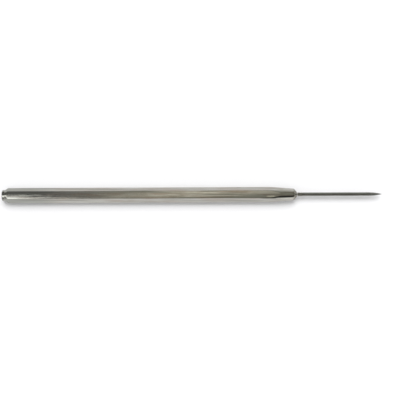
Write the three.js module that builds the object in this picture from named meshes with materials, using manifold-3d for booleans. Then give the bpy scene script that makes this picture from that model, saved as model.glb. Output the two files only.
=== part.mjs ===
// Pricking iron: a slim single-point pricker for marking leather.
// A steel needle is soldered into the nose of a plated brass handle, which is turned from hexagonal bar.
// Units are millimetres. +X runs from the butt to the point, +Z is up, and the tool lies on one flat of its
// handle. The origin is under the middle of the tool, on the surface that it lies on.
import * as THREE from "three";
import { mergeVertices } from "three/addons/utils/BufferGeometryUtils.js";
import Module from "manifold-3d";

const DEGREE = Math.PI / 180;

// Driving dimensions. Angles are measured from the tool's axis.
const TOTAL_LENGTH = 140;
const HANDLE_LENGTH = 108.4;
const ACROSS_FLATS = 5;
const NEEDLE_DIAMETER = 1.4;

const BUTT = {
  stubRadius: 2.05, // short round end left by the turning
  stubLength: 1,
  edgeRadius: 0.3, // rounding round the end face
  chamferAngle: 30 * DEGREE, // from the stub out to the corners of the bar
};
const NOSE = {
  length: 11.4, // from where the corners start to be turned away to the end face
  coneAngle: 3.9 * DEGREE,
  chamferAngle: 50 * DEGREE,
  endRadius: 1.05, // of the flat end face
  chamferLength: 0.95,
};
const SOCKET = { clearance: 0.12, depth: 17.5, drillAngle: 59 * DEGREE };
const NEEDLE = { shankEndGap: 0.5, shankChamfer: 0.15, pointLength: 5 };
const SOLDER = { gap: 0.02, innerEndGap: 1, filletRadius: 1, filletLength: 0.5 };

// Worked out from the driving dimensions
const AXIS_HEIGHT = ACROSS_FLATS / 2;
const CORNER_RADIUS = ACROSS_FLATS / Math.sqrt(3);
const BLANK_RADIUS = CORNER_RADIUS + 0.2; // the turned outline clears the corners between butt and nose
const NEEDLE_RADIUS = NEEDLE_DIAMETER / 2;
const SOCKET_RADIUS = NEEDLE_RADIUS + SOCKET.clearance;
const SHANK_LENGTH = SOCKET.depth - NEEDLE.shankEndGap;
const EXPOSED_LENGTH = TOTAL_LENGTH - HANDLE_LENGTH;

// Multiples of 12, so that the handle's corners and the middles of its flats fall on division lines.
const HANDLE_DIVISIONS = 72;
const NEEDLE_DIVISIONS = 36;

const wasm = await Module();
wasm.setup();

// A solid for cutting and joining, from a closed three.js geometry.
function solidFrom(geometry) {
  const bare = geometry.clone();
  bare.deleteAttribute("normal");
  bare.deleteAttribute("uv");
  const merged = mergeVertices(bare);
  const vertProperties = merged.attributes.position.array;
  const triVerts = new Uint32Array(merged.index.array);
  return new wasm.Manifold(new wasm.Mesh({ numProp: 3, vertProperties, triVerts }));
}

// A flat-shaded three.js geometry, from a solid.
function geometryFrom(solid) {
  const mesh = solid.getMesh();
  const indexed = new THREE.BufferGeometry();
  indexed.setAttribute("position", new THREE.BufferAttribute(mesh.vertProperties, mesh.numProp));
  indexed.setIndex(new THREE.BufferAttribute(mesh.triVerts, 1));
  const geometry = indexed.toNonIndexed();
  geometry.computeVertexNormals();
  return geometry;
}

// Turns a profile about the X axis. Each profile point is [distance along X, radius].
function turned(profile, divisions) {
  const points = profile.map(([along, radius]) => new THREE.Vector2(radius, along));
  return new THREE.LatheGeometry(points, divisions).rotateZ(-Math.PI / 2);
}

// The values of f(t) at steps + 1 even places, with t from 0 to 1.
function sample(steps, f) {
  return Array.from({ length: steps + 1 }, (_, i) => f(i / steps));
}

// The end face, its rounded edge, the stub, and the chamfer that runs out past the corners.
function buttProfile() {
  const { stubRadius, stubLength, edgeRadius, chamferAngle } = BUTT;
  const edge = sample(4, (t) => {
    const angle = (t * Math.PI) / 2;
    return [edgeRadius * (1 - Math.cos(angle)), stubRadius - edgeRadius * (1 - Math.sin(angle))];
  });
  const chamferLength = (BLANK_RADIUS - stubRadius) / Math.tan(chamferAngle);
  return [[0, 0], ...edge, [stubLength, stubRadius], [stubLength + chamferLength, BLANK_RADIUS]];
}

// The slender cone, which starts outside the corners, and the steep chamfer round the end face.
function noseProfile() {
  const coneStart = HANDLE_LENGTH - NOSE.length;
  const runIn = (BLANK_RADIUS - CORNER_RADIUS) / Math.tan(NOSE.coneAngle);
  const chamferStartRadius = NOSE.endRadius + NOSE.chamferLength * Math.tan(NOSE.chamferAngle);
  return [
    [coneStart - runIn, BLANK_RADIUS],
    [HANDLE_LENGTH - NOSE.chamferLength, chamferStartRadius],
    [HANDLE_LENGTH, NOSE.endRadius],
  ];
}

// The wall of the blind socket and its drilled bottom.
function socketProfile() {
  const bottom = HANDLE_LENGTH - SOCKET.depth;
  const drillPoint = SOCKET_RADIUS / Math.tan(SOCKET.drillAngle);
  return [[HANDLE_LENGTH, SOCKET_RADIUS], [bottom, SOCKET_RADIUS], [bottom - drillPoint, 0]];
}

// Hexagonal bar along X, with flats above and below and a little spare length at both ends.
function hexagonalBar() {
  const spare = 1;
  const corners = sample(5, (t) => {
    const angle = (90 + 300 * t) * DEGREE;
    return new THREE.Vector2(CORNER_RADIUS * Math.cos(angle), CORNER_RADIUS * Math.sin(angle));
  });
  const options = { depth: HANDLE_LENGTH + 2 * spare, bevelEnabled: false };
  return new THREE.ExtrudeGeometry(new THREE.Shape(corners), options)
    .rotateY(Math.PI / 2)
    .translate(-spare, 0, 0);
}

function handleGeometry() {
  const outline = turned([...buttProfile(), ...noseProfile(), ...socketProfile()], HANDLE_DIVISIONS);
  return geometryFrom(solidFrom(outline).intersect(solidFrom(hexagonalBar())));
}

// The needle starts at its shank end, inside the socket, and narrows to its point in a parabola.
function needleGeometry() {
  const length = SHANK_LENGTH + EXPOSED_LENGTH;
  const point = sample(14, (t) => [
    length - NEEDLE.pointLength * (1 - t),
    NEEDLE_RADIUS * (1 - t ** 2),
  ]);
  const shank = [[0, 0], [0, NEEDLE_RADIUS - NEEDLE.shankChamfer], [NEEDLE.shankChamfer, NEEDLE_RADIUS]];
  return turned([...shank, ...point], NEEDLE_DIVISIONS);
}

// The solder fills the clearance round the shank, and rises in a hollow fillet where the needle leaves the
// nose. The nose's end face is at X = 0.
function solderGeometry() {
  const inner = NEEDLE_RADIUS + SOLDER.gap;
  const outer = SOCKET_RADIUS - SOLDER.gap;
  const innerEnd = SOLDER.innerEndGap - SHANK_LENGTH;
  const filletDrop = SOLDER.filletRadius - inner;
  const fillet = sample(6, (t) => {
    const angle = (t * Math.PI) / 2;
    return [
      SOLDER.gap + SOLDER.filletLength * (1 - Math.cos(angle)),
      SOLDER.filletRadius - filletDrop * Math.sin(angle),
    ];
  });
  return turned(
    [[innerEnd, inner], [innerEnd, outer], [SOLDER.gap, outer], ...fillet, [innerEnd, inner]],
    NEEDLE_DIVISIONS,
  );
}

function part(name, geometry, material, along) {
  const mesh = new THREE.Mesh(geometry, material);
  mesh.name = name;
  mesh.position.x = along;
  return mesh;
}

const nickelPlate = new THREE.MeshStandardMaterial({ color: 0xa8a89c, metalness: 1, roughness: 0.2 });
const needleSteel = new THREE.MeshStandardMaterial({ color: 0x8c8c86, metalness: 1, roughness: 0.25 });
const softSolder = new THREE.MeshStandardMaterial({ color: 0xb4b4b0, metalness: 1, roughness: 0.45 });

const tool = new THREE.Group();
tool.position.set(-TOTAL_LENGTH / 2, 0, AXIS_HEIGHT);
tool.add(
  part("handle", handleGeometry(), nickelPlate, 0),
  part("needle", needleGeometry(), needleSteel, HANDLE_LENGTH - SHANK_LENGTH),
  part("solder_sleeve", solderGeometry(), softSolder, HANDLE_LENGTH),
);

const pricker = new THREE.Group();
pricker.add(tool);

export default pricker;
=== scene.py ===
import math

import bpy
import numpy as np
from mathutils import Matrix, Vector


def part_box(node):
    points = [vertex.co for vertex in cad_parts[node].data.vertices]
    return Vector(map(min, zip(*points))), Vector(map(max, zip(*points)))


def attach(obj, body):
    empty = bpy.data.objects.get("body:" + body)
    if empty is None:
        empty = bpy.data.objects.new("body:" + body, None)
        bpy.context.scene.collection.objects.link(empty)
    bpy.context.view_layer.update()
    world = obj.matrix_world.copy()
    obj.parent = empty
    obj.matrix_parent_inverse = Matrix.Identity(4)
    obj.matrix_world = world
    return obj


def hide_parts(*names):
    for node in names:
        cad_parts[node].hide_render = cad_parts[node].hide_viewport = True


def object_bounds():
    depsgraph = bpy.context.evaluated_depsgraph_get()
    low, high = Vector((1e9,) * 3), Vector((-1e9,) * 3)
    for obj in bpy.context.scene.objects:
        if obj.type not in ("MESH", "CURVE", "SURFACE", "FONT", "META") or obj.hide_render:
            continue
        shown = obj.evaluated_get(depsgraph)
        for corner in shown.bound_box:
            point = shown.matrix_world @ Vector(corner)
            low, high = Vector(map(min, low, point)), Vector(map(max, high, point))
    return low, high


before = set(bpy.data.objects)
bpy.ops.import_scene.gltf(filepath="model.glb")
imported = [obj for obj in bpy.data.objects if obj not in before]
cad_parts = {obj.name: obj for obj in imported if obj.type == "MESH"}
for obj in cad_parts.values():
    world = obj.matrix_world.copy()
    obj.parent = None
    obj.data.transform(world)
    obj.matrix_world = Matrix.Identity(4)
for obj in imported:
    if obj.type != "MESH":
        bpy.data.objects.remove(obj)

# A needle pricker lying on a white table: a plated hexagonal handle, a needle, and the solder between them.
# Shapes are worked out in millimetres, with "along" measured from the butt towards the point, and are put
# into the frame's metres when a mesh is written.

MM = 0.001
DEGREE = math.pi / 180

cad_low, cad_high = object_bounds()
handle_low, handle_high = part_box("handle")
needle_low, needle_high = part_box("needle")
solder_low, solder_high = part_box("solder_sleeve")

# ---- Sizes that the frame gives ----

BUTT_X = handle_low.x
AXIS_Z = (handle_low.z + handle_high.z) / 2
FLAT = (handle_high.z - handle_low.z) / 2 / MM
CORNER = FLAT / math.cos(30 * DEGREE)
HANDLE_END = (handle_high.x - BUTT_X) / MM
NEEDLE_START = (needle_low.x - BUTT_X) / MM
NEEDLE_END = (needle_high.x - BUTT_X) / MM
NEEDLE_RADIUS = (needle_high.z - needle_low.z) / 2 / MM
SOLDER_START = (solder_low.x - BUTT_X) / MM
SOLDER_END = (solder_high.x - BUTT_X) / MM
FILLET_RADIUS = (solder_high.z - solder_low.z) / 2 / MM

# ---- Sizes of the handle's surface ----

CROWN = 0.07  # how far a flat falls away from its middle to its edges
CORNER_SOFTNESS = 0.09  # blends neighbouring flats
CUT_SOFTNESS = 0.03  # blends a flat with a turned surface
BUTT_STUB_RADIUS = 2.05
BUTT_STUB_LENGTH = 1.0
BUTT_EDGE = 0.3
BUTT_ROOT = 0.15  # radius between the stub and the chamfer
BUTT_CHAMFER = 30 * DEGREE
NOSE_LENGTH = 11.4
NOSE_CONE = 3.9 * DEGREE
NOSE_RUN_IN = 1.8  # half the length over which the cone's slope begins
NOSE_CHAMFER = 50 * DEGREE
NOSE_CHAMFER_LENGTH = 0.95
NOSE_FACE_RADIUS = 1.05
NOSE_EDGE = 0.1
NOSE_SHOULDER = 1.0  # radius between the cone and the chamfer
SOCKET_RADIUS = NEEDLE_RADIUS + 0.12
SOCKET_DEPTH = 17.5
SOCKET_DRILL = 59 * DEGREE
BLANK = CORNER + 0.2  # clear of the corners: nothing is turned away

# ---- Sizes of the needle and the solder ----

SHANK_CHAMFER = 0.15
POINT_LENGTH = 5.0
POINT_UNEVENNESS = 0.008  # the ground point isn't perfectly round
FIT_GAP = 0.02
FILLET_UNEVENNESS = 0.03


# ---- Writing meshes ----

def blend_min(a, b, softness):
    """The smaller of a and b, rounded over where they are within softness of each other."""
    near = np.clip(1 - np.abs(a - b) / softness, 0, 1)
    return np.minimum(a, b) - near**2 * softness / 4


def ring(along, radius, angle):
    """Points round the axis, in metres. Angle 0 is straight up."""
    radius, angle, along = np.broadcast_arrays(radius, angle, along)
    x = BUTT_X + along * MM
    y = radius * np.sin(angle) * MM
    z = AXIS_Z + radius * np.cos(angle) * MM
    return np.stack([x, y, z], axis=-1).reshape(-1, 3)


def ring_faces(rings):
    """Faces between neighbouring rings. A ring of one point is a pole."""
    faces, start = [], 0
    for first, second in zip(rings, rings[1:]):
        a, b = start, start + len(first)
        count = max(len(first), len(second))
        for i in range(count):
            j = (i + 1) % count
            if len(first) == 1:
                faces.append((a, b + i, b + j))
            elif len(second) == 1:
                faces.append((a + j, a + i, b))
            else:
                faces.append((a + j, a + i, b + i, b + j))
        start = b
    return faces


def write_piece(name, rings, material, node, attributes=None):
    """A closed, smooth piece that stands for a CAD node. Its rings run from pole to pole, or in a loop."""
    looped = rings + [rings[0]] if len(rings[0]) > 1 else rings
    points = np.concatenate(rings)
    faces = [tuple(corner % len(points) for corner in face) for face in ring_faces(looped)]
    mesh = bpy.data.meshes.new(name)
    mesh.from_pydata(points.tolist(), [], faces)
    mesh.polygons.foreach_set("use_smooth", [True] * len(mesh.polygons))
    for key, values in (attributes or {}).items():
        layer = mesh.attributes.new(key, "FLOAT", "POINT")
        layer.data.foreach_set("value", np.concatenate(values).astype(np.float32))
    mesh.validate()
    mesh.materials.append(material)
    piece = bpy.data.objects.new(name, mesh)
    bpy.context.scene.collection.objects.link(piece)
    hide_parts(node)
    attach(piece, "root")


def rounded_corner(before, corner, after, radius, steps):
    """Points of an arc that rounds a corner of a profile. Points are (along, radius)."""
    before, corner, after = (np.array(p, float) for p in (before, corner, after))
    into = (before - corner) / np.linalg.norm(before - corner)
    out = (after - corner) / np.linalg.norm(after - corner)
    half = math.acos(float(np.clip(into @ out, -1, 1))) / 2
    middle = (into + out) / np.linalg.norm(into + out)
    centre = corner + middle * radius / math.sin(half)
    start = corner + into * radius / math.tan(half) - centre
    end = corner + out * radius / math.tan(half) - centre
    sweep = math.atan2(start[0] * end[1] - start[1] * end[0], float(start @ end))
    quarter = np.array([-start[1], start[0]])
    turns = [sweep * i / steps for i in range(steps + 1)]
    return [centre + start * math.cos(t) + quarter * math.sin(t) for t in turns]


def straight(start, end, steps):
    """Points along a line, without its two ends."""
    start, end = np.array(start, float), np.array(end, float)
    return [start + (end - start) * i / steps for i in range(1, steps)]


# ---- Handle ----

HALF_FLAT_STEPS = 12  # from the middle of a flat to where a turned surface cuts it
HALF_CUT_STEPS = 10  # from there to the corner
LEAST_CUT = 2 * DEGREE
MOST_CUT = 27.6 * DEGREE  # beyond this the corner's own rounding needs the points
CUT_CROWDING = 1.6  # how closely the points of a half flat gather at the cut
CORNER_CROWDING = 1.4  # and how closely the points beyond it do
LEAST_BEND = 1e-9  # keeps the middle of a flat from dividing by zero
BUTT_FACE_RINGS = (0.4, 0.8, 1.2, 1.5, 1.68)  # radii
BODY_RINGS = 66
CONE_RINGS = 74
SHOULDER_SPACE = 1  # left free before the nose's shoulder for its rounding
MOUTH_DEPTH = 0.2  # to the first ring inside the socket

drawing = np.random.default_rng(11)
WAVES = [
    {
        "around": int(drawing.integers(4, 36)),
        "length": float(drawing.uniform(14, 70)),
        "phase": float(drawing.uniform(0, 2 * math.pi)),
        "lean": float(drawing.normal(0, 1)),
    }
    for _ in range(26)
]
WAVE_SLOPE = 0.008  # of each wave, in millimetres per millimetre
WAVE_ROOM = 0.006  # taken off the flats, so that the waves stay inside them


def waviness(along, angle):
    """The drawn bar is very slightly wavy, in long streaks."""
    total = 0
    for wave in WAVES:
        height = WAVE_SLOPE * FLAT / wave["around"]
        swing = wave["lean"] * np.sin(2 * math.pi * along / wave["length"])
        total = total + height * np.sin(wave["around"] * angle + wave["phase"] + swing)
    return total


def flat_radius(angle):
    """Distance from the axis to a slightly crowned flat, at an angle from the flat's middle."""
    bend = CROWN * (np.sin(angle) / (FLAT * math.tan(30 * DEGREE))) ** 2
    bend = np.maximum(bend, LEAST_BEND)
    return (np.sqrt(np.cos(angle) ** 2 + 4 * bend * FLAT) - np.cos(angle)) / (2 * bend)


def bar_radius(along, angle):
    """The hexagonal bar before any turning. Angle is from the middle of the upper flat."""
    within = (angle + 30 * DEGREE) % (60 * DEGREE) - 30 * DEGREE
    own = flat_radius(within)
    neighbour = flat_radius(60 * DEGREE - np.abs(within))
    return blend_min(own, neighbour, CORNER_SOFTNESS) - WAVE_ROOM + waviness(along, angle)


def ring_angles(turned):
    """Angles round the handle, closest together along the corners and the edges of the turning."""
    cut = math.acos(min(1, FLAT / turned)) if turned > 0 else 0
    cut = min(max(cut, LEAST_CUT), MOST_CUT)
    inner = [cut * (1 - (1 - i / HALF_FLAT_STEPS) ** CUT_CROWDING) for i in range(HALF_FLAT_STEPS)]
    beyond = 30 * DEGREE - cut
    outer = [cut + beyond * (i / HALF_CUT_STEPS) ** CORNER_CROWDING for i in range(HALF_CUT_STEPS + 1)]
    half = np.array(inner + outer)
    sector = np.concatenate([-half[:0:-1], half[:-1]])
    return np.concatenate([sector + 60 * DEGREE * k for k in range(6)])


def butt_profile():
    stub_end = (BUTT_STUB_LENGTH, BUTT_STUB_RADIUS)
    chamfer_end = (BUTT_STUB_LENGTH + (BLANK - BUTT_STUB_RADIUS) / math.tan(BUTT_CHAMFER), BLANK)
    outer_edge = (0, BUTT_STUB_RADIUS)
    edge = rounded_corner((0, 0), outer_edge, stub_end, BUTT_EDGE, 9)
    root = rounded_corner(outer_edge, stub_end, chamfer_end, BUTT_ROOT, 5)
    face = [(0, r) for r in BUTT_FACE_RINGS]
    stub = straight(edge[-1], root[0], 6)
    chamfer = straight(root[-1], chamfer_end, 26)
    return face + edge + stub + root + chamfer + [chamfer_end]


def nose_radius(along):
    """The nose's cone, whose slope begins over a large radius."""
    past = along - (HANDLE_END - NOSE_LENGTH)
    slope = math.tan(NOSE_CONE)
    if past < -NOSE_RUN_IN:
        return CORNER
    if past < NOSE_RUN_IN:
        return CORNER - slope * (past + NOSE_RUN_IN) ** 2 / (4 * NOSE_RUN_IN)
    return CORNER - slope * past


def nose_profile():
    cone_start = HANDLE_END - NOSE_LENGTH - NOSE_RUN_IN
    cone_end = HANDLE_END - NOSE_CHAMFER_LENGTH
    face_edge = (HANDLE_END, NOSE_FACE_RADIUS)
    mouth = (HANDLE_END, SOCKET_RADIUS)
    shoulder = (cone_end, NOSE_FACE_RADIUS + NOSE_CHAMFER_LENGTH * math.tan(NOSE_CHAMFER))
    straight_end = cone_end - SHOULDER_SPACE
    before = (straight_end, nose_radius(straight_end))
    cone = [(a, nose_radius(a)) for a in np.linspace(cone_start, straight_end, CONE_RINGS)]
    round_shoulder = rounded_corner(before, shoulder, face_edge, NOSE_SHOULDER, 14)
    round_edge = rounded_corner(shoulder, face_edge, mouth, NOSE_EDGE, 6)
    chamfer = straight(round_shoulder[-1], round_edge[0], 6)
    face = [(HANDLE_END, (NOSE_FACE_RADIUS + SOCKET_RADIUS) / 2), mouth]
    return cone + round_shoulder + chamfer + round_edge + face


def socket_profile():
    bottom = HANDLE_END - SOCKET_DEPTH
    drill_point = SOCKET_RADIUS / math.tan(SOCKET_DRILL)
    return [(HANDLE_END - MOUTH_DEPTH, SOCKET_RADIUS), (bottom, SOCKET_RADIUS), (bottom - drill_point, 0)]


TURNED_EDGE = 0.02  # the step of height over which the look changes from drawn to turned
CORNER_WEAR = 1.3 * DEGREE  # how far the wear reaches from a corner


def handle_piece(material):
    butt, nose = butt_profile(), nose_profile()
    body = [(a, BLANK) for a in np.linspace(butt[-1][0], nose[0][0], BODY_RINGS)[1:-1]]
    rings, turned_mask, edge_mask = [ring(0, 0, 0)], [np.ones(1)], [np.zeros(1)]
    for along, turned in butt + body + nose + socket_profile():
        if turned == 0:
            rings.append(ring(along, 0, 0))
            turned_mask.append(np.ones(1))
            edge_mask.append(np.zeros(1))
            continue
        angle = ring_angles(turned)
        bar = bar_radius(along, angle)
        rings.append(ring(along, blend_min(bar, turned, CUT_SOFTNESS), angle))
        cut = np.clip(0.5 + (bar - turned) / TURNED_EDGE, 0, 1)
        from_corner = 30 * DEGREE - np.abs((angle + 30 * DEGREE) % (60 * DEGREE) - 30 * DEGREE)
        turned_mask.append(cut)
        edge_mask.append((1 - cut) * np.exp(-((from_corner / CORNER_WEAR) ** 2)))
    masks = {"turned": turned_mask, "edge": edge_mask}
    write_piece("handle_bar", rings, material, "handle", masks)


# ---- Needle ----

AROUND = 64
WIRE_RINGS = 60
WIRE_START = 1  # from the shank's end to the first plain ring
WIRE_SPACE = 0.3  # left free before the point
POINT_RINGS = 36
POINT_CROWDING = 1.3
GRIND_RUN_IN = 0.6  # length over which the grinding marks begin
WIRE_BOW = 0.0015  # share of the radius by which the wire is out of true
WIRE_BOW_LENGTH = 3.1


def needle_profile():
    point_start = NEEDLE_END - POINT_LENGTH
    shank = [(NEEDLE_START, NEEDLE_RADIUS - SHANK_CHAMFER), (NEEDLE_START + SHANK_CHAMFER, NEEDLE_RADIUS)]
    ends = (NEEDLE_START + WIRE_START, point_start - WIRE_SPACE)
    wire = [(a, NEEDLE_RADIUS) for a in np.linspace(*ends, WIRE_RINGS)]
    tapers = [1 - (1 - i / POINT_RINGS) ** POINT_CROWDING for i in range(POINT_RINGS)]
    point = [(point_start + POINT_LENGTH * t, NEEDLE_RADIUS * (1 - t * t)) for t in tapers]
    return shank + wire + point


def needle_piece(material):
    angle = np.linspace(0, 2 * math.pi, AROUND, endpoint=False)
    rings, ground = [ring(NEEDLE_START, 0, 0)], [np.zeros(1)]
    for along, radius in needle_profile():
        grind = np.clip((along - (NEEDLE_END - POINT_LENGTH)) / GRIND_RUN_IN, 0, 1)
        uneven = np.cos(5 * angle + 0.5 * along) + 0.6 * np.cos(8 * angle - 0.9 * along)
        bowed = 1 + WIRE_BOW * np.cos(angle) * np.sin(along / WIRE_BOW_LENGTH)
        ground_away = 1 - POINT_UNEVENNESS * grind * (1.6 + uneven)
        rings.append(ring(along, radius * bowed * ground_away, angle))
        ground.append(np.full(AROUND, grind))
    rings.append(ring(NEEDLE_END, 0, 0))
    ground.append(np.ones(1))
    write_piece("needle_wire", rings, material, "needle", {"ground": ground})


# ---- Solder ----

SLEEVE_RINGS = 6
FILLET_STEPS = 14
FILLET_TIP = 0.06  # how far the fillet's thin edge stays below its full height


def solder_piece(material):
    """A sleeve round the shank, with a hollow fillet at the nose. Its rings run in a loop."""
    angle = np.linspace(0, 2 * math.pi, AROUND, endpoint=False)
    inner = NEEDLE_RADIUS + FIT_GAP
    outer = SOCKET_RADIUS - FIT_GAP
    face = HANDLE_END + FIT_GAP
    height = SOLDER_END - face
    lump = np.sin(3 * angle + 0.7) + 0.7 * np.sin(5 * angle + 2.1) + 0.4 * np.sin(9 * angle)
    sleeve = np.linspace(SOLDER_START, face, SLEEVE_RINGS)
    rings = [ring(a, inner, angle) for a in sleeve[::-1]] + [ring(a, outer, angle) for a in sleeve]
    for i in range(FILLET_STEPS + 1):
        turn = i / FILLET_STEPS * math.pi / 2
        share = math.sin(2 * turn)
        radius = FILLET_RADIUS - (FILLET_RADIUS - inner) * math.sin(turn)
        rise = height * (1 - math.cos(turn))
        sag = FILLET_UNEVENNESS * lump * (0.35 * math.cos(turn) + 0.25 * share)
        lift = 1 + 0.5 * share * FILLET_UNEVENNESS * lump
        rings.append(ring(face + rise * lift, radius - np.abs(sag), angle))
    rings[-1] = ring(SOLDER_END - FILLET_TIP + 0.02 * lump, inner, angle)
    write_piece("solder_fillet", rings, material, "solder_sleeve")


# ---- Materials ----

def add_node(tree, kind, inputs=None, **settings):
    """A node with these settings. Its inputs are given values or linked to other nodes' outputs."""
    node = tree.nodes.new(kind)
    for key, value in settings.items():
        setattr(node, key, value)
    for key, value in (inputs or {}).items():
        if isinstance(value, bpy.types.NodeSocket):
            tree.links.new(value, node.inputs[key])
        else:
            node.inputs[key].default_value = value
    return node


def metal(name, roughness):
    material = bpy.data.materials.new(name)
    material.use_nodes = True
    shader = material.node_tree.nodes["Principled BSDF"]
    shader.inputs["Metallic"].default_value = 1
    shader.inputs["Roughness"].default_value = roughness
    return material, material.node_tree, shader


def stretched_noise(tree, position, cell, detail=3.0, rough=0.55):
    """Noise whose cells measure about cell, three lengths in millimetres."""
    scale = tuple(1 / (c * MM) for c in cell)
    placed = add_node(tree, "ShaderNodeMapping", {"Vector": position, "Scale": scale})
    inputs = {"Vector": placed.outputs["Vector"], "Scale": 1.0, "Detail": detail, "Roughness": rough}
    return add_node(tree, "ShaderNodeTexNoise", inputs).outputs["Fac"]


def calculate(tree, operation, first, second=0.0, third=0.0):
    inputs = {0: first, 1: second, 2: third}
    return add_node(tree, "ShaderNodeMath", inputs, operation=operation).outputs[0]


def spread(tree, value, low, high, to_low=0.0, to_high=1.0):
    """Maps a range of values smoothly onto another."""
    inputs = {"Value": value, "From Min": low, "From Max": high, "To Min": to_low, "To Max": to_high}
    return add_node(tree, "ShaderNodeMapRange", inputs, interpolation_type="SMOOTHSTEP").outputs["Result"]


def between(tree, value, rise, fall):
    """1 between two soft edges and 0 beyond them."""
    return calculate(tree, "MULTIPLY", spread(tree, value, *rise), spread(tree, value, *fall, 1, 0))


def along_tool(tree, position):
    return add_node(tree, "ShaderNodeSeparateXYZ", {0: position}).outputs[0]


def mix_colour(tree, share, first, second):
    node = add_node(tree, "ShaderNodeMix", data_type="RGBA")
    for socket, value in ((node.inputs[0], share), (node.inputs[6], first), (node.inputs[7], second)):
        if isinstance(value, bpy.types.NodeSocket):
            tree.links.new(value, socket)
        else:
            socket.default_value = value
    return node.outputs[2]


def patch(tree, position, centre, size):
    """1 inside an ellipsoid and 0 outside it, with a soft edge. Both are (along, across, above the axis)."""
    middle = (BUTT_X + centre[0] * MM, centre[1] * MM, AXIS_Z + centre[2] * MM)
    scale = tuple(1 / (part * MM) for part in size)
    location = tuple(-m * s for m, s in zip(middle, scale))
    inputs = {"Vector": position, "Location": location, "Scale": scale}
    placed = add_node(tree, "ShaderNodeMapping", inputs).outputs["Vector"]
    distance = add_node(tree, "ShaderNodeVectorMath", {0: placed}, operation="LENGTH").outputs["Value"]
    return spread(tree, distance, 0.6, 1.0, 1, 0)


# Colours are linear.
NICKEL = (0.47, 0.465, 0.43, 1)
TARNISHED = (0.41, 0.40, 0.355, 1)
STREAKED = (0.26, 0.255, 0.225, 1)
STAINED = (0.36, 0.305, 0.26, 1)
# Darker colour towards the butt.
BUTT_DARKER = (0.26, 0.27, 0.245, 1)
BRIGHT_EDGE = (0.48, 0.44, 0.35, 1)
# Darker corners towards the butt.
BUTT_DARK_EDGE = (0.15, 0.15, 0.14, 1)
HEATED_NICKEL = (0.17, 0.16, 0.125, 1)
# Painted highlight: near-white colour for a small patch on the upper flat by the nose.
PAINTED_HIGHLIGHT = (0.85, 0.82, 0.74, 1)
# Painted dark reflection: dark colour for a streak along the front corner of the upper flat by the nose.
PAINTED_DARK_REFLECTION = (0.12, 0.115, 0.10, 1)
PIT = (0.16, 0.15, 0.12, 1)
STEEL = (0.26, 0.26, 0.245, 1)
CLOUDED_STEEL = (0.22, 0.22, 0.205, 1)
HEATED_STEEL = (0.16, 0.15, 0.12, 1)
GROUND_STEEL = (0.32, 0.32, 0.31, 1)
SOLDER = (0.50, 0.50, 0.48, 1)
FLUX = (0.24, 0.20, 0.13, 1)

BUTT_DARKENING_ZONE = (-58 * MM, -46 * MM)  # where the darkening towards the butt ends, in the frame's x
HEATED_ZONE = (handle_high.x - 1.6 * MM, handle_high.x - 0.6 * MM)
NEEDLE_HEAT = (0.5 * MM, 4 * MM)  # from the nose, over which the needle's tint fades
NICKEL_RELIEF = 1.2e-6
NEEDLE_RELIEF = 1.0e-6
SOLDER_RELIEF = 5.0e-6
PAINTED_HIGHLIGHT_CENTRE = (98.8, -0.75, FLAT)  # a painted highlight on the upper flat, by the nose
PAINTED_HIGHLIGHT_SIZE = (2.0, 0.24, 0.4)
DARK_REFLECTION_CENTRE = (98.6, -1.5, FLAT - 0.1)  # a painted dark reflection along the corner beside it
DARK_REFLECTION_SIZE = (4.5, 0.3, 0.4)


def nickel_colour(tree, position, tarnish, streaks, heated, pitted):
    """Tarnished and streaked, darker towards the butt, worn at the corners and tinted at the mouth, with a
    painted highlight and a painted dark reflection on the upper flat by the nose.
    """
    edge = add_node(tree, "ShaderNodeAttribute", attribute_name="edge").outputs["Fac"]
    stains = stretched_noise(tree, position, (11, 0.7, 0.7), 3)
    # The colour gets darker towards the butt, on the flats and at the corners.
    butt_darkening = spread(tree, along_tool(tree, position), *BUTT_DARKENING_ZONE, 1, 0)
    nickel = mix_colour(tree, tarnish, NICKEL, TARNISHED)
    streaked = mix_colour(tree, spread(tree, streaks, 0.45, 0.62, 0, 0.8), nickel, STREAKED)
    stained = mix_colour(tree, spread(tree, stains, 0.48, 0.64, 0, 0.7), streaked, STAINED)
    butt_darkened = mix_colour(tree, calculate(tree, "MULTIPLY", butt_darkening, 0.6), stained, BUTT_DARKER)
    edge_colour = mix_colour(tree, butt_darkening, BRIGHT_EDGE, BUTT_DARK_EDGE)
    worn = mix_colour(tree, calculate(tree, "MULTIPLY", edge, 0.45), butt_darkened, edge_colour)
    tinted = mix_colour(tree, calculate(tree, "MULTIPLY", heated, 0.8), worn, HEATED_NICKEL)
    # A painted highlight: a near-white patch on the upper flat by the nose.
    highlighted = mix_colour(tree, patch(tree, position, PAINTED_HIGHLIGHT_CENTRE, PAINTED_HIGHLIGHT_SIZE), tinted, PAINTED_HIGHLIGHT)
    # A painted dark reflection along the front corner, beside the painted highlight.
    dark_reflection_share = calculate(tree, "MULTIPLY", patch(tree, position, DARK_REFLECTION_CENTRE, DARK_REFLECTION_SIZE), 0.8)
    reflection_darkened = mix_colour(tree, dark_reflection_share, highlighted, PAINTED_DARK_REFLECTION)
    return mix_colour(tree, calculate(tree, "MULTIPLY", pitted, 0.5), reflection_darkened, PIT)


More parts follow.
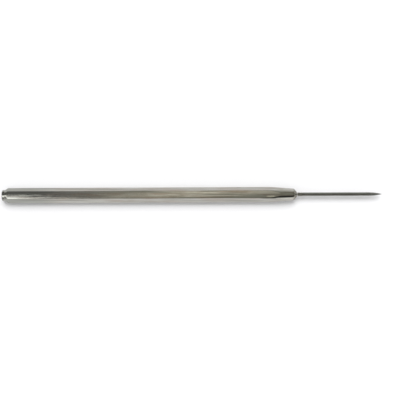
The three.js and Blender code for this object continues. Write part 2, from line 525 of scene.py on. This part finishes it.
def nickel_material():
    """Bright nickel over drawn bar: lengthwise lines on the flats, fine rings where it was turned."""
    material, tree, shader = metal("nickel_plate", 0.16)
    position = add_node(tree, "ShaderNodeTexCoord").outputs["Object"]
    turned = add_node(tree, "ShaderNodeAttribute", attribute_name="turned").outputs["Fac"]
    streaks = stretched_noise(tree, position, (24, 0.55, 0.55), 4)
    lines = stretched_noise(tree, position, (9, 0.07, 0.07), 2)
    rings = stretched_noise(tree, position, (0.05, 6, 6), 2)
    blotches = stretched_noise(tree, position, (5, 1.6, 1.6), 4, 0.6)
    pits = stretched_noise(tree, position, (0.16, 0.12, 0.12), 1)

    heated = spread(tree, along_tool(tree, position), *HEATED_ZONE)
    pitted = spread(tree, pits, 0.74, 0.82)
    tarnish = spread(tree, blotches, 0.42, 0.72)
    colour = nickel_colour(tree, position, tarnish, streaks, heated, pitted)
    tree.links.new(colour, shader.inputs["Base Color"])

    rough = calculate(tree, "MULTIPLY_ADD", tarnish, 0.05, 0.07)
    rough = calculate(tree, "MULTIPLY_ADD", spread(tree, streaks, 0.4, 0.7), 0.04, rough)
    rough = calculate(tree, "MULTIPLY_ADD", turned, 0.03, rough)
    rough = calculate(tree, "MULTIPLY_ADD", heated, 0.12, rough)
    tree.links.new(rough, shader.inputs["Roughness"])

    drawn = calculate(tree, "MULTIPLY", lines, calculate(tree, "SUBTRACT", 1.0, turned))
    height = calculate(tree, "MULTIPLY_ADD", rings, calculate(tree, "MULTIPLY", turned, 0.6), drawn)
    height = calculate(tree, "MULTIPLY_ADD", pitted, -1.5, height)
    bump = add_node(tree, "ShaderNodeBump", {"Strength": 1.0, "Distance": NICKEL_RELIEF, "Height": height})
    tree.links.new(bump.outputs["Normal"], shader.inputs["Normal"])
    return material


def needle_material():
    """Polished hardened wire, ground across its length at the point and tinted by heat at the solder."""
    material, tree, shader = metal("needle_steel", 0.25)
    position = add_node(tree, "ShaderNodeTexCoord").outputs["Object"]
    ground = add_node(tree, "ShaderNodeAttribute", attribute_name="ground").outputs["Fac"]
    polish = stretched_noise(tree, position, (6, 0.05, 0.05), 3)
    grinding = stretched_noise(tree, position, (0.04, 0.5, 0.5), 3)
    clouds = stretched_noise(tree, position, (4, 0.8, 0.8), 3)
    from_nose = calculate(tree, "SUBTRACT", along_tool(tree, position), handle_high.x)
    heat = spread(tree, from_nose, *NEEDLE_HEAT, 1, 0)

    clouded = spread(tree, clouds, 0.35, 0.7)
    steel = mix_colour(tree, clouded, STEEL, CLOUDED_STEEL)
    tinted = mix_colour(tree, calculate(tree, "MULTIPLY", heat, 0.6), steel, HEATED_STEEL)
    colour = mix_colour(tree, calculate(tree, "MULTIPLY", ground, 0.7), tinted, GROUND_STEEL)
    tree.links.new(colour, shader.inputs["Base Color"])

    rough = calculate(tree, "MULTIPLY_ADD", polish, 0.12, 0.16)
    rough = calculate(tree, "MULTIPLY_ADD", heat, 0.08, rough)
    rough = calculate(tree, "MULTIPLY_ADD", ground, 0.08, rough)
    tree.links.new(rough, shader.inputs["Roughness"])

    plain = calculate(tree, "MULTIPLY", polish, calculate(tree, "SUBTRACT", 1.0, ground))
    height = calculate(tree, "MULTIPLY_ADD", grinding, ground, plain)
    bump = add_node(tree, "ShaderNodeBump", {"Strength": 1.0, "Distance": NEEDLE_RELIEF, "Height": height})
    tree.links.new(bump.outputs["Normal"], shader.inputs["Normal"])
    return material


def solder_material():
    """Soft solder, dulled as it set, with a trace of flux."""
    material, tree, shader = metal("soft_solder", 0.4)
    position = add_node(tree, "ShaderNodeTexCoord").outputs["Object"]
    grain = stretched_noise(tree, position, (0.12, 0.12, 0.12), 4, 0.65)
    flux = stretched_noise(tree, position, (0.5, 0.4, 0.4), 2)
    stained = spread(tree, flux, 0.52, 0.66, 0, 0.6)
    colour = mix_colour(tree, stained, SOLDER, FLUX)
    tree.links.new(colour, shader.inputs["Base Color"])
    tree.links.new(calculate(tree, "MULTIPLY_ADD", grain, 0.3, 0.26), shader.inputs["Roughness"])
    bump = add_node(tree, "ShaderNodeBump", {"Strength": 1.0, "Distance": SOLDER_RELIEF, "Height": grain})
    tree.links.new(bump.outputs["Normal"], shader.inputs["Normal"])
    return material


# ---- Stage ----

TABLE_SIZE = 6.0
TABLE_WHITE = (0.86, 0.86, 0.87, 1)
TABLE_ROUGHNESS = 0.9
TABLE_DROP = 0.02 * MM  # below the handle's lower flat, so that the two surfaces don't coincide


def table():
    mesh = bpy.data.meshes.new("table_top")
    half = TABLE_SIZE / 2
    corners = [(-half, -half), (half, -half), (half, half), (-half, half)]
    mesh.from_pydata([(x, y, cad_low.z - TABLE_DROP) for x, y in corners], [], [(0, 1, 2, 3)])
    top = bpy.data.objects.new("table_top", mesh)
    bpy.context.scene.collection.objects.link(top)
    material = bpy.data.materials.new("white_card")
    material.use_nodes = True
    shader = material.node_tree.nodes["Principled BSDF"]
    shader.inputs["Base Color"].default_value = TABLE_WHITE
    shader.inputs["Roughness"].default_value = TABLE_ROUGHNESS
    shader.inputs["Specular IOR Level"].default_value = 0.0
    mesh.materials.append(material)


# The studio round the table. Its lengthwise strips run parallel to the tool, and their edges are angles
# from straight overhead: below zero towards the back, above zero towards the front. Levels are against the
# table's white.
FILL_LEVEL = 0.64  # that the studio gives the table
CEILING_LEVEL = 0.3
CEILING_TINT = (1.0, 1.0, 0.86)
BACK_WALL = (-85 * DEGREE, -30 * DEGREE)
FRONT_WALL = (54 * DEGREE, 78 * DEGREE)
WALL_LEVEL = 1.0
FRONT_WALL_LEVEL = 1.35
SHADE_MIDDLE = 40 * DEGREE  # a dark strip, towards the front
SHADE_HALF_WIDTH = (11 * DEGREE, 21 * DEGREE)  # wholly dark, and to its soft edge
SHADE_LEVEL = 0.04
GLOW_MIDDLE = -8 * DEGREE  # a soft lamp, nearly overhead
GLOW_SIDEWAYS = 0.01
GLOW_SIZE = (0.085, 9 * DEGREE)
GLOW_LEAN = 130 * DEGREE
GLOW_SHARE = 0.95
GLOW_COLOUR = (1.1, 1.04, 0.9)

# Towards the butt there's less wall. A bright panel leans across the front, with a dark one beside it.
BUTT_SIDE = (-0.13, -0.06)  # the sideways part of a direction, over which the studio changes
BUTT_REFLECTION = 0.163  # how far sideways the upper flat looks, about 6 mm from the butt
BUTT_CEILING_LEVEL = 0.25
BUTT_FRONT_LEVEL = 0.55
BUTT_FRONT = (12 * DEGREE, 50 * DEGREE)
PANEL_LEVEL = 3.1
PANEL_START = 1.8 * DEGREE  # at BUTT_REFLECTION sideways
PANEL_LEAN = 130 * DEGREE
PANEL_LEAN_LIMIT = -0.2  # sideways, beyond which the panel runs straight on
PANEL_SOFT = 1.5 * DEGREE
PANEL_FAR_END = (-0.995, -0.96)  # sideways, just above the horizon
PANEL_NEAR_END = (-0.15, -0.13)
DARK_LEVEL = 0.13
DARK_BACK_EDGE = (-2 * DEGREE, 1 * DEGREE)
DARK_FRONT_EDGE = (4 * DEGREE, 16 * DEGREE)
DARK_END = (-0.09, -0.08)


def grey(level, tint=(1.0, 1.0, 1.0)):
    return tuple(level * part for part in tint) + (1,)


def point_side_studio(tree, angle):
    from_shade = calculate(tree, "ABSOLUTE", calculate(tree, "SUBTRACT", angle, SHADE_MIDDLE))
    colour = mix_colour(tree, spread(tree, from_shade, *SHADE_HALF_WIDTH, 1, 0),
                        grey(CEILING_LEVEL, CEILING_TINT), grey(SHADE_LEVEL))
    colour = mix_colour(tree, spread(tree, angle, *BACK_WALL, 1, 0), colour, grey(WALL_LEVEL))
    return mix_colour(tree, spread(tree, angle, *FRONT_WALL), colour, grey(FRONT_WALL_LEVEL))


def butt_side_studio(tree, sideways, angle):
    limited = calculate(tree, "MAXIMUM", sideways, PANEL_LEAN_LIMIT)
    leant = calculate(tree, "MULTIPLY_ADD", limited, -PANEL_LEAN, angle)
    start = PANEL_START + BUTT_REFLECTION * PANEL_LEAN
    panel = calculate(tree, "MULTIPLY", spread(tree, leant, start, start + PANEL_SOFT),
                      between(tree, sideways, PANEL_FAR_END, PANEL_NEAR_END))
    colour = mix_colour(tree, panel, grey(BUTT_CEILING_LEVEL), grey(PANEL_LEVEL))
    return mix_colour(tree, spread(tree, angle, *BUTT_FRONT), colour, grey(BUTT_FRONT_LEVEL))


def lamp_share(tree, sideways, angle):
    """How much of the soft lamp shows: most at its middle, falling away like a bell curve."""
    from_lamp = calculate(tree, "SUBTRACT", sideways, GLOW_SIDEWAYS)
    past_lamp = calculate(tree, "MULTIPLY_ADD", from_lamp, GLOW_LEAN, angle)
    past_lamp = calculate(tree, "SUBTRACT", past_lamp, GLOW_MIDDLE)
    offsets = zip((from_lamp, past_lamp), GLOW_SIZE)
    offsets = [calculate(tree, "DIVIDE", part, size) for part, size in offsets]
    squares = [calculate(tree, "POWER", offset, 2.0) for offset in offsets]
    fall = calculate(tree, "EXPONENT", calculate(tree, "MULTIPLY", calculate(tree, "ADD", *squares), -1.0))
    return calculate(tree, "MULTIPLY", fall, GLOW_SHARE)


def surroundings():
    """A studio with a dim ceiling and white walls, which the metal reflects.

    It lights the table evenly, and the camera sees plain white behind the table.
    """
    world = bpy.data.worlds.new("studio")
    bpy.context.scene.world = world
    world.use_nodes = True
    tree = world.node_tree
    direction = add_node(tree, "ShaderNodeTexCoord").outputs["Generated"]
    sideways, backwards, upwards = add_node(tree, "ShaderNodeSeparateXYZ", {0: direction}).outputs
    forwards = calculate(tree, "MULTIPLY", backwards, -1.0)
    angle = calculate(tree, "ARCTAN2", forwards, upwards)

    point_side = point_side_studio(tree, angle)
    butt_side = butt_side_studio(tree, sideways, angle)
    reflected = mix_colour(tree, spread(tree, sideways, *BUTT_SIDE, 1, 0), point_side, butt_side)
    dark = calculate(tree, "MULTIPLY", between(tree, angle, DARK_BACK_EDGE, DARK_FRONT_EDGE),
                     between(tree, sideways, PANEL_NEAR_END, DARK_END))
    reflected = mix_colour(tree, dark, reflected, grey(DARK_LEVEL))
    glow = lamp_share(tree, sideways, angle)
    reflected = mix_colour(tree, glow, reflected, GLOW_COLOUR + (1,))
    ray = add_node(tree, "ShaderNodeLightPath").outputs
    seen = mix_colour(tree, ray["Is Diffuse Ray"], reflected, grey(FILL_LEVEL))
    seen = mix_colour(tree, ray["Is Camera Ray"], seen, grey(1))
    tree.links.new(seen, tree.nodes["Background"].inputs["Color"])


KEY_TILT = 27.5 * DEGREE  # from straight up, towards the back
KEY_SPREAD = 37 * DEGREE
KEY_STRENGTH = 2.0


def key_light():
    """Soft, even light from above and behind. Reflections show the studio in its place."""
    data = bpy.data.lights.new("key", "SUN")
    data.angle = KEY_SPREAD
    data.energy = KEY_STRENGTH
    light = bpy.data.objects.new("key", data)
    light.rotation_euler = (-KEY_TILT, 0, 0)
    light.visible_glossy = False
    light.visible_camera = False
    bpy.context.scene.collection.objects.link(light)


# ---- Camera ----

LENS = 100
SENSOR = 36
CLIP = (0.01, 20)
VIEW_WIDTH = 0.1474  # at the height of the tool's axis
VIEW_ELEVATION = 87.3 * DEGREE
VIEW_ROLL = 0.24 * DEGREE
VIEW_OFFSET = Vector((0.00285, -0.00192, 0))  # of the middle of the view from the middle of the tool


def camera():
    data = bpy.data.cameras.new("camera")
    data.lens, data.sensor_width = LENS, SENSOR
    distance = VIEW_WIDTH / SENSOR * LENS
    view = bpy.data.objects.new("camera", data)
    aim = Vector(((cad_low.x + cad_high.x) / 2, 0, AXIS_Z)) + VIEW_OFFSET
    back = Vector((0, -math.cos(VIEW_ELEVATION), math.sin(VIEW_ELEVATION)))
    view.location = aim + back * distance
    view.rotation_euler = (math.pi / 2 - VIEW_ELEVATION, 0, 0)
    view.rotation_euler.rotate_axis("Z", -VIEW_ROLL)
    data.clip_start, data.clip_end = CLIP
    bpy.context.scene.collection.objects.link(view)
    bpy.context.scene.camera = view


camera()
handle_piece(nickel_material())
needle_piece(needle_material())
solder_piece(solder_material())
table()
surroundings()
key_light()
bpy.context.scene.view_settings.view_transform = "Standard"
